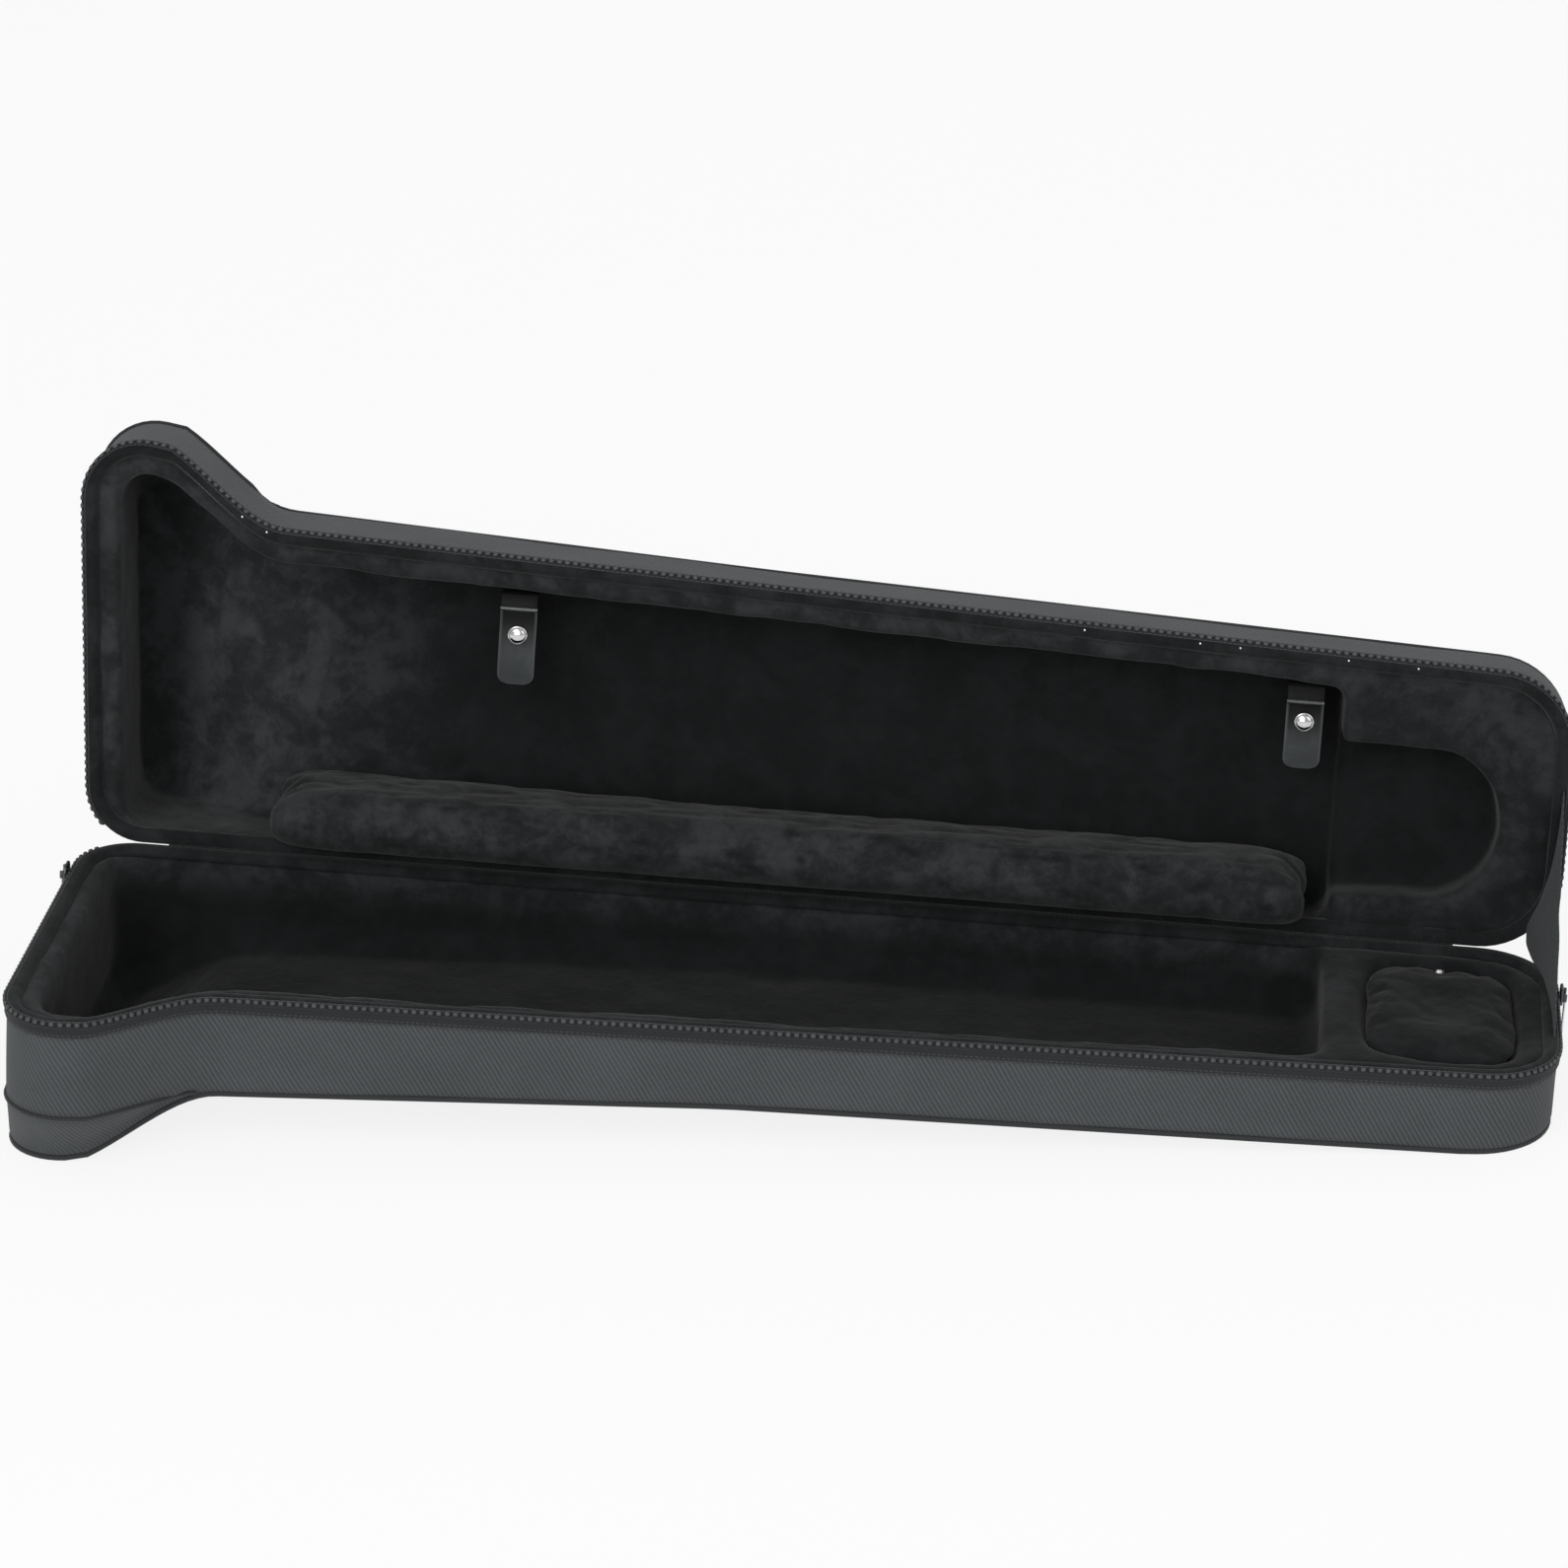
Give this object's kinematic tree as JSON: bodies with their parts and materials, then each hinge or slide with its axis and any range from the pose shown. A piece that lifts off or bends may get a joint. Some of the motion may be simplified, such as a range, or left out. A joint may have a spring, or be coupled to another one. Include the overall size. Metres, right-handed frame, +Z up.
{
  "type": "trombone case",
  "caption": "Soft zip-up trombone case, standing open: flared bell end, plush-lined basin, padded lid with straps, fabric stay and carrying handle.",
  "frame": {"origin": "middle of the open case's bounding box, on the ground plane it rests on", "axes": "+X from the flared bell end to the square tail end, +Y from the front opening edge to the hinge side, +Z up"},
  "size_m": [0.9484, 0.4008, 0.3598],
  "materials": {
    "cover_twill": "matte woven twill",
    "plush": "short plush nap",
    "piping": "matte woven cord",
    "zip_tape": "matte woven tape",
    "zip_teeth": "satin",
    "zip_metal": "satin lacquer",
    "leather": "glossy",
    "chrome": "polished",
    "webbing": "matte webbing"
  },
  "bodies": {
    "base": {"base_shell": "cover_twill", "base_insert": "plush", "base_piping": "piping", "base_zip_tape": "zip_tape", "base_zip_teeth": "zip_teeth", "handle_webbing": "webbing", "handle_grip": "leather", "handle_patch_left": "leather", "handle_patch_right": "leather", "handle_rivet_left": "chrome", "handle_rivet_right": "chrome", "spine_hinge": "cover_twill", "lid_stay": "cover_twill"},
    "lid": {"lid_shell": "cover_twill", "lid_insert": "plush", "lid_pad_block": "plush", "lid_piping": "piping", "lid_zip_tape": "zip_tape", "lid_zip_teeth": "zip_teeth", "strap_left_root": "leather", "strap_left_loop": "leather", "strap_left_snap_stud": "chrome", "strap_right_root": "leather", "strap_right_loop": "leather", "strap_right_snap_stud": "chrome"},
    "strap_left": {"strap_left_flap": "leather", "strap_left_snap_cap": "chrome"},
    "strap_right": {"strap_right_flap": "leather", "strap_right_snap_cap": "chrome"},
    "accessory_lid": {"accessory_lid": "plush", "accessory_lid_stud": "chrome"},
    "slider_bell": {"zip_slider_bell": "zip_metal"},
    "slider_tail": {"zip_slider_tail": "zip_metal"},
    "pull_bell": {"zip_pull_bell": "chrome"},
    "pull_tail": {"zip_pull_tail": "chrome"}
  },
  "joints": [
    {"name": "lid_hinge", "type": "hinge", "parent": "base", "child": "lid", "pos_m": [-0.45415, 0.05739, 0.10771], "axis": [0.9982, 0, -0.0595], "range_deg": [0, 99.4], "deforming": ["spine_hinge", "lid_stay"]},
    {"name": "strap_left_hinge", "type": "hinge", "parent": "lid", "child": "strap_left", "pos_m": [-0.18119, 0.08528, 0.25832], "axis": [0.9982, 0, -0.0595], "range_deg": [-100, 0]},
    {"name": "strap_right_hinge", "type": "hinge", "parent": "lid", "child": "strap_right", "pos_m": [0.3072, 0.08183, 0.20832], "axis": [0.9982, 0, -0.0595], "range_deg": [-100, 0]},
    {"name": "accessory_lid_hinge", "type": "hinge", "parent": "base", "child": "accessory_lid", "pos_m": [0.39317, 0.03639, 0.05416], "axis": [0.9982, 0, -0.0595], "range_deg": [-75, 0]},
    {"name": "slider_bell_slide", "type": "slide", "parent": "base", "child": "slider_bell", "axis": [-0.0495, -0.9988, 0.003], "range_m": [0, 0.169]},
    {"name": "slider_tail_slide", "type": "slide", "parent": "base", "child": "slider_tail", "axis": [0, -1, 0], "range_m": [0, 0.063]},
    {"name": "pull_bell_hinge", "type": "hinge", "parent": "slider_bell", "child": "pull_bell", "pos_m": [-0.4628, 0.01121, 0.10622], "axis": [0.0495, 0.9988, -0.003], "range_deg": [0, 100]},
    {"name": "pull_tail_hinge", "type": "hinge", "parent": "slider_tail", "child": "pull_tail", "pos_m": [0.47034, 0.00239, 0.05056], "axis": [0, -1, 0], "range_deg": [0, 100]}
  ]
}
